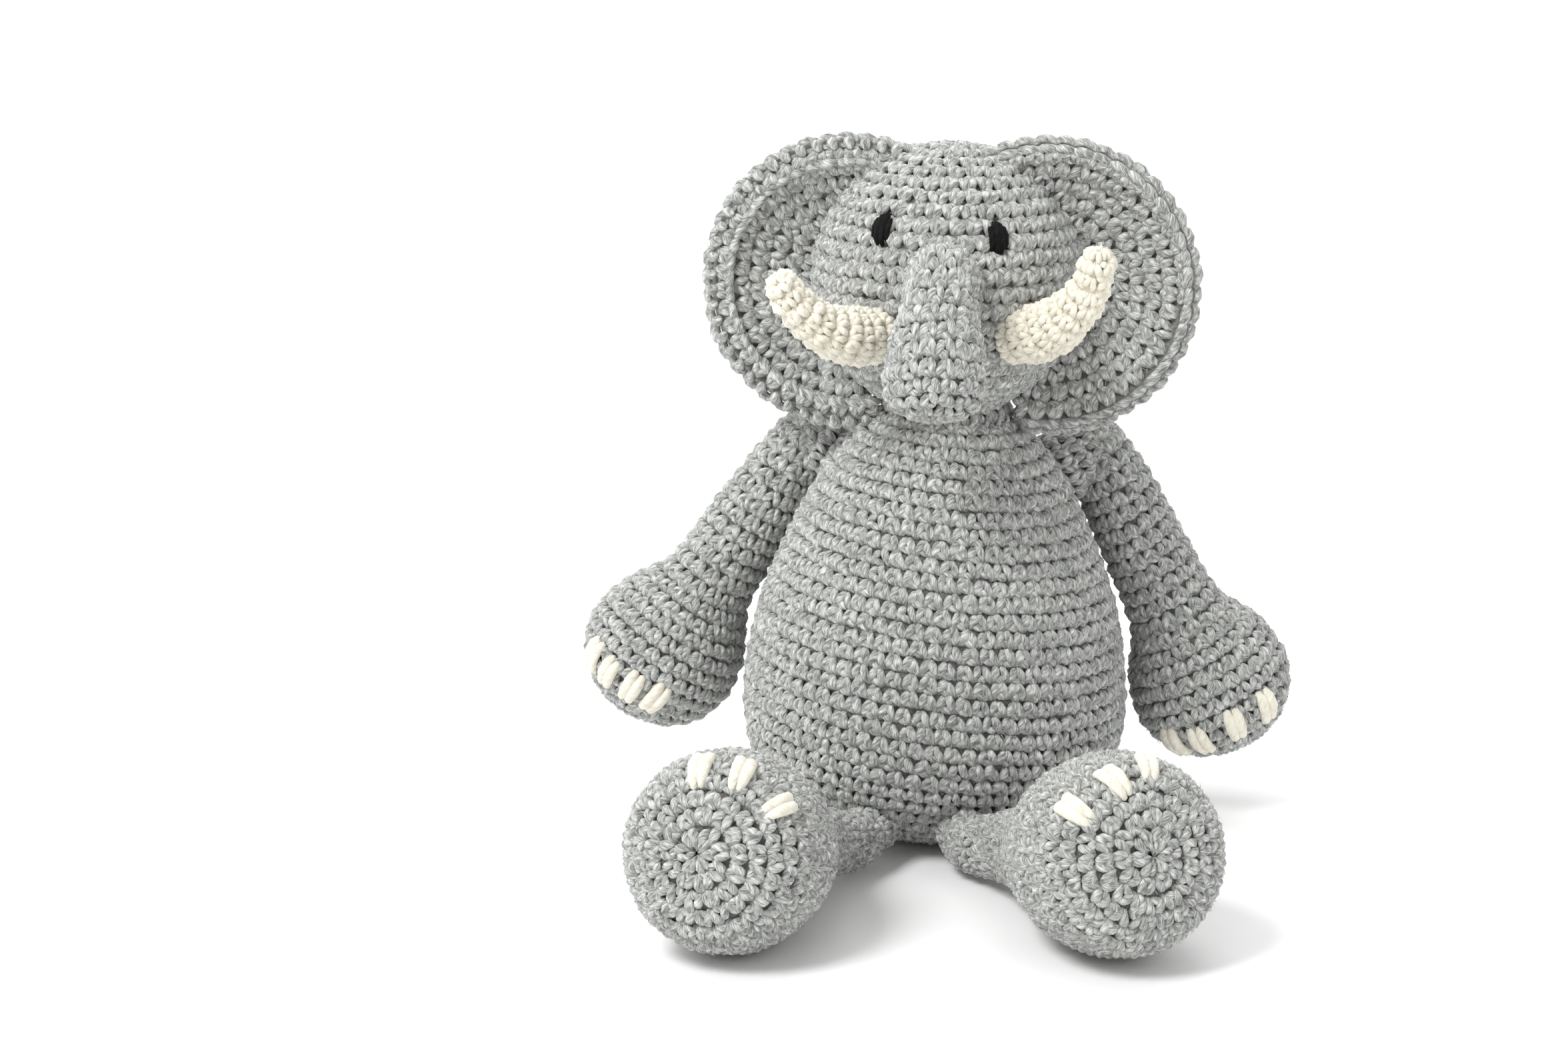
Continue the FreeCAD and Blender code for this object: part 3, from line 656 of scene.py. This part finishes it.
def make_eyes(form):
    """Upright strands of black yarn, sewn over one another."""
    for side, (x, z) in EYES.items():
        y = math.sqrt(HEAD_RADIUS**2 - x * x - z * z)
        down = HEAD_RADIUS * math.acos(z / HEAD_RADIUS)
        eye = on_form(form, EYE, down, math.atan2(y, x), spin=0.04, lift=0.2, size=0.98)
        add(f"eye_{side}_yarn", stack(eye), "head", [f"eye_{side}"], "black_yarn")


# Trunk and tusks.


def trunk_direction(rise):
    """The way forward from the head at an angle above level, in the row's frame."""
    a = math.radians(rise)
    ahead = Matrix.Rotation(math.radians(TRUNK_YAW), 3, "Z") @ Vector((0, -math.cos(a), math.sin(a)))
    return np.array(ahead) @ HEAD_AXES


root_way, trunk_way = trunk_direction(TRUNK_RISE), trunk_direction(-TRUNK_DROOP)
trunk_pivot = HEAD_CENTRE + root_way * TRUNK_REACH


def make_trunk():
    """The trunk's skin, worked up from its tip. It runs on past its hinge, into the face."""
    path = bent(trunk_way, -HZ, TRUNK_BEND_RADIUS, TRUNK_BEND, TRUNK_LENGTH, trunk_pivot, TRUNK_ROOT)
    outer = path[np.linalg.norm(path - path[0], axis=1) > TRUNK_ROOT + 0.2]
    inner = [trunk_pivot - ((1 - t) * trunk_way + t * root_way) * 16 * t for t in np.linspace(0.12, 1, 8)]
    form = Form(TRUNK, np.vstack([outer[::-1], trunk_pivot[None], inner]), -HZ)
    skin = stack(crochet(form), ground(form, around=40), fuzz(form, 450))
    ob = add("trunk_skin", skin, None, ["trunk_shell", "trunk_filling"])
    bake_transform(ob)


def make_tusks():
    """Cream skins with small stitches, worked from the tip. Each runs on 5 mm into the head."""
    for side, (offset, start, towards) in TUSKS.items():
        base, way = HEAD_CENTRE + vec(*offset), unit(vec(*start))
        path = bent(way, towards, TUSK_BEND_RADIUS, TUSK_BEND, TUSK_LENGTH, base, 0.0)
        form = Form(TUSK, np.vstack([base - way * 5, path])[::-1], vec(0, 0, 1))
        skin = stack(crochet(form, wide=4.5, tall=4.4, size=1.15), ground(form, around=30, depth=-1.4),
                     fuzz(form, 260))
        add(f"tusk_{side}_skin", skin, "head", [f"tusk_{side}_shell", f"tusk_{side}_filling"],
            "cream_yarn")


# Ears.


def outside_head(p, head, neck):
    near_neck = (np.hypot(p[:, 0] - NECK_X, p[:, 1]) < neck) & (p[:, 2] < 150)
    return (np.linalg.norm(p - HEAD_CENTRE, axis=1) > head) & ~near_neck


def stitch_room(p):
    return outside_head(p, 37.5, 23)


def ground_room(p):
    return outside_head(p, 36, 22)


def edge_ring(centre, template, count, lean, off, turn=0.0, size=1.0, radius=CHAIN_RADIUS):
    """A round of strands along an ear's edge, leaning forward of its rim by lean degrees."""
    a = 2 * math.pi * (np.arange(count) + rng.normal(0, 0.04, count)) / count
    psi = math.radians(lean)
    radial = np.stack([np.cos(a), np.zeros(count), np.sin(a)], 1)
    tangent = np.stack([-np.sin(a), np.zeros(count), np.cos(a)], 1)
    z = radial * math.cos(psi) + np.broadcast_to(vec(0, -1, 0), radial.shape) * math.sin(psi)
    y = tangent * math.cos(math.radians(turn)) + np.cross(tangent, z) * math.sin(math.radians(turn))
    x = np.cross(y, z)
    origin = in_head(centre + radial * radius + z * (CHAIN_LIFT + off))
    keep = stitch_room(origin)
    return place(template, origin[keep], *((axis @ HEAD_AXES)[keep] for axis in (x, y, z)), size)


def edge_tube(centre):
    """The plain tube of yarn under the edge's strands."""
    count, around = 120, 10
    a = np.linspace(0, 2 * math.pi, count, endpoint=False)
    b = np.linspace(0, 2 * math.pi, around, endpoint=False)
    aa, bb = (m.ravel() for m in np.meshgrid(a, b, indexing="ij"))
    radius = RIM_RADIUS + RIM_TUBE * np.cos(bb)
    p = in_head(centre + np.stack([np.cos(aa) * radius, -1.5 * np.sin(bb), np.sin(aa) * radius], 1))
    faces = grid_faces(count, around, closed=True)
    faces = faces[ground_room(p[faces].mean(1))]
    return p, faces, np.stack([aa * 40, bb * 3], 1), 0


def ear_edge(middle, braid_in):
    """Chains in front and behind. Where the front one lies inside the rim, wrapped strands fill the rim."""
    centre = np.array(middle) - vec(0, RIM_FORWARD, 0)
    if braid_in:
        front = [edge_ring(centre, LINK, 46, 62, -0.4, radius=CHAIN_RADIUS - braid_in),
                 edge_ring(centre, WRAP, 54, 12, -0.5, turn=58, size=1.3)]
    else:
        front = [edge_ring(centre, LINK, 46, 42, -0.3)]
    return stack(*front, edge_ring(centre, LINK, 46, -42, -0.5), edge_tube(centre))


def make_ears():
    """Two discs and an edge each."""
    for side, middle in EARS.items():
        dishes = {"front": Dish(middle, EAR_FRONT_BALL, -1), "back": Dish(middle, EAR_BACK_BALL, 1)}
        for face, dish in dishes.items():
            skin = stack(crochet(dish, keep=stitch_room, templates=LOCKED), ground(dish, keep=ground_room),
                         fuzz(dish, 450, keep=stitch_room))
            ob = add(f"ear_{side}_{face}_skin", skin, None, [f"ear_{side}_{face}"])
            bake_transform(ob)
        ob = add(f"ear_{side}_edge", ear_edge(middle, BRAID_IN[side]), None, [f"ear_{side}_edging"])
        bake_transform(ob)


def make_ear_seams():
    """Whip stitches along the line where an ear's front meets the head."""
    for side, middle in EARS.items():
        dish = Dish(middle, EAR_FRONT_BALL, -1)
        tt, ss = np.meshgrid(np.linspace(0, 2 * math.pi, 220, endpoint=False),
                             np.linspace(2, dish.length, 120), indexing="ij")
        p = dish.at(ss.ravel(), tt.ravel(), np.full(ss.size, 0.3)).reshape(*ss.shape, 3)
        beyond = np.linalg.norm(p - HEAD_CENTRE, axis=2) - 40.6
        hit = (beyond[:, :-1] < 0) & (beyond[:, 1:] >= 0)
        rows = np.flatnonzero(hit.any(1))
        seam = p[rows, hit[rows].argmax(1)]
        seam = seam[seam[:, 2] > NECK_TOP]
        seam = seam[np.argsort(seam[:, 2])]
        run = np.concatenate([[0], np.cumsum(np.linalg.norm(np.diff(seam, axis=0), axis=1))])
        want = np.arange(1, run[-1], 4.0)
        at = np.stack([np.interp(want, run, seam[:, i]) for i in range(3)], 1)
        out = units(at - HEAD_CENTRE)
        forward = np.broadcast_to(-HY, out.shape)
        z = units(forward - out * (forward * out).sum(1)[:, None] * 0.3)
        y = units(out - z * (out * z).sum(1)[:, None])
        add(f"ear_{side}_stitching", stack(place(WHIP, at, np.cross(y, z), y, z, 0.95)), "head",
            [f"ear_{side}_seam"])


# Arms and legs.


def arm(side):
    """An arm's form, hinge, way out, and the two directions across it that its claws are placed by."""
    place_at, angle = SHOULDERS[side]
    pivot, a = vec(*place_at), math.radians(angle)
    along = vec(SIGN[side] * math.sin(a), 0, -math.cos(a))
    form = Form(ARM, [pivot + along * ARM_LENGTH, pivot - along * ARM_OVER], vec(0, -1, 0))
    outside = unit(vec(SIGN[side], 0, 0) - along * along[0] * SIGN[side])
    return form, pivot, along, vec(0, -1, 0), outside


def leg(side):
    """The same for a leg, which bends outward a little on its way to the foot."""
    place_at, splay = HIPS[side]
    pivot, a, rise = vec(*place_at), math.radians(splay), math.radians(LEG_RISE)
    start = vec(SIGN[side] * math.sin(a) * math.cos(rise), -math.cos(a) * math.cos(rise), math.sin(rise))
    path = bent(start, vec(-SIGN[side], 0, 0), LEG_BEND_RADIUS, LEG_BEND, LEG_LENGTH, pivot, LEG_ROOT)
    form = Form(LEG, path[::-1], vec(0, 0, 1))
    ahead = unit(path[-1] - path[-2])
    up = unit(vec(0, 0, 1) - ahead * ahead[2])
    return form, pivot, ahead, up, unit(np.cross(ahead, up)) * -SIGN[side]


limbs = {("arm", side): arm(side) for side in SIGN} | {("leg", side): leg(side) for side in SIGN}


def make_limb(limb, side):
    """A limb's skin, worked from the hand or the sole, and the claws sewn over its end."""
    form, _, _, zero, outside = limbs[limb, side]
    body = f"{limb}_{side}"
    skin = stack(crochet(form), ground(form), fuzz(form, 1000))
    add(f"{body}_skin", skin, body, [f"{body}_shell", f"{body}_filling"])
    s0 = float(np.interp(CLAW_ALONG[limb], form.along, form.s))
    axes = form.frames(np.array([CLAW_ALONG[limb]]))[0]
    claws = []
    for angle in CLAW_ANGLES[limb, side]:
        way = zero * math.cos(math.radians(angle)) + outside * math.sin(math.radians(angle))
        theta = math.atan2(way @ axes[:, 1], way @ axes[:, 0])
        s, spin, size = s0 + rng.normal(0, 0.8), rng.normal(0, 0.14), rng.uniform(0.93, 1.05)
        claws.append(on_form(form, CLAW, s, theta, spin, 0.4, size))
    add(f"{body}_toes", stack(*claws), body, [f"{body}_claws"], "cream_yarn")


def make_shoulder(side):
    """A gusset turned about the arm's swing hinge, so that it looks the same at any angle of the swing."""
    pivot, along = limbs["arm", side][1:3]
    joint = next(j for j in frame["record"]["behaviour"]["joints"] if j["name"] == f"arm_{side}_swing")
    inward = unit(np.array(joint["axis"], float)) * -SIGN[side]
    gusset = Form(SHOULDER, [pivot - inward * 9, pivot + inward * 22], vec(0, -1, 0))
    join = stack(crochet(gusset), ground(gusset, around=40),
                 whipped(pivot - along * 5.5, -along, 5.6, 9, 0.4))
    add(f"arm_{side}_join", join, f"arm_{side}_root", [f"arm_{side}_seam"])


def make_hip(side):
    """The seat's fabric, drawn out until it ends inside the leg's round end, and the whip stitches there."""
    pivot, along = limbs["leg", side][1:3]
    join = stack(whipped(pivot - along * 5.4, -along, 4.9, 9, 0.4))
    inward = unit(vec(-pivot[0], -pivot[1], 0))
    root = pivot + vec(0, 0, 0.6)
    drawn = Form(HIP, [root - inward * 6, root + inward * 20 + vec(0, 0, 2)], vec(0, 0, 1))
    fabric = stack(crochet(drawn), ground(drawn, around=40), fuzz(drawn, 200))
    add(f"leg_{side}_root_fabric", fabric, "torso", [])
    add(f"leg_{side}_join", join, f"leg_{side}_root", [f"leg_{side}_seam"])


make_body()
make_neck()
head = head_form()
make_head(head)
make_trunk()
make_tusks()
make_ears()
for limb, side in limbs:
    make_limb(limb, side)
make_eyes(head)
add("neck_stitching", stack(whipped(vec(NECK_X, 0, 125.2), vec(0, 0, 1), 19.8, 26, 0.6, 0.8)), "neck",
    ["neck_seam"])
add("trunk_stitching", stack(whipped(trunk_pivot - root_way * 10.6, root_way, 10.6, 16, 0.5)), "head",
    ["trunk_seam"])
for side in SIGN:
    make_shoulder(side)
for side in SIGN:
    make_hip(side)
make_ear_seams()


# Floor, light and camera.


def make_floor():
    material = bpy.data.materials.new("floor_paper")
    material.use_nodes = True
    bsdf = material.node_tree.nodes["Principled BSDF"]
    bsdf.inputs["Base Color"].default_value = (0.93, 0.93, 0.93, 1)
    bsdf.inputs["Roughness"].default_value = 0.9
    bsdf.inputs["Specular IOR Level"].default_value = 0.1
    bpy.ops.mesh.primitive_plane_add(size=40, location=(0, 0, 0))
    floor = bpy.context.object
    floor.name = "floor"
    floor.data.materials.append(material)


def make_world():
    """White light all round: brighter from the left than from the right, and brightest behind."""
    world = bpy.data.worlds.new("studio")
    bpy.context.scene.world = world
    world.use_nodes = True
    nt = world.node_tree
    background = nt.nodes["Background"]
    background.inputs["Color"].default_value = (1, 1, 1, 1)
    way = nt.nodes.new("ShaderNodeSeparateXYZ")
    nt.links.new(nt.nodes.new("ShaderNodeTexCoord").outputs["Generated"], way.inputs[0])
    behind = math_node(nt, "MAXIMUM", way.outputs[1], 0.0)
    across = math_node(nt, "MULTIPLY_ADD", way.outputs[0], -0.28, 0.58)
    nt.links.new(math_node(nt, "MULTIPLY_ADD", behind, 1.35, across), background.inputs["Strength"])


def softbox(name, location, target, size, power):
    data = bpy.data.lights.new(name, "AREA")
    data.shape, data.size, data.energy = "DISK", size, power
    ob = bpy.data.objects.new(name, data)
    ob.location = location
    ob.rotation_euler = (Vector(target) - Vector(location)).to_track_quat("-Z", "Y").to_euler()
    bpy.context.scene.collection.objects.link(ob)


def make_camera():
    """One metre from a point 92 mm above the floor, looking down on the toy a little."""
    data = bpy.data.cameras.new("camera")
    data.sensor_width, data.lens = 36.0, 76.5
    data.clip_start, data.clip_end = 0.05, 60
    camera = bpy.data.objects.new("camera", data)
    bpy.context.scene.collection.objects.link(camera)
    elevation, yaw = math.radians(12.5), math.radians(2.6)
    level, drop = math.cos(elevation), math.sin(elevation)
    camera.location = (0, -level, 0.092 + drop)
    look = Vector((-math.sin(yaw) * level, math.cos(yaw) * level, -drop))
    camera.rotation_euler = look.to_track_quat("-Z", "Y").to_euler()
    bpy.context.scene.camera = camera


make_floor()
make_world()
softbox("key", (-0.75, -0.85, 1.3), (0, 0, 0.09), 0.6, 19)
softbox("fill", (1.0, -0.9, 0.7), (0, 0, 0.09), 0.9, 3)
softbox("backdrop", (0, 3.2, 2.2), (0, 4.4, 0), 2.0, 150)
softbox("top", (0.1, 0.4, 1.4), (0, 0, 0.1), 0.9, 5)
make_camera()
bpy.context.scene.view_settings.view_transform = "Standard"
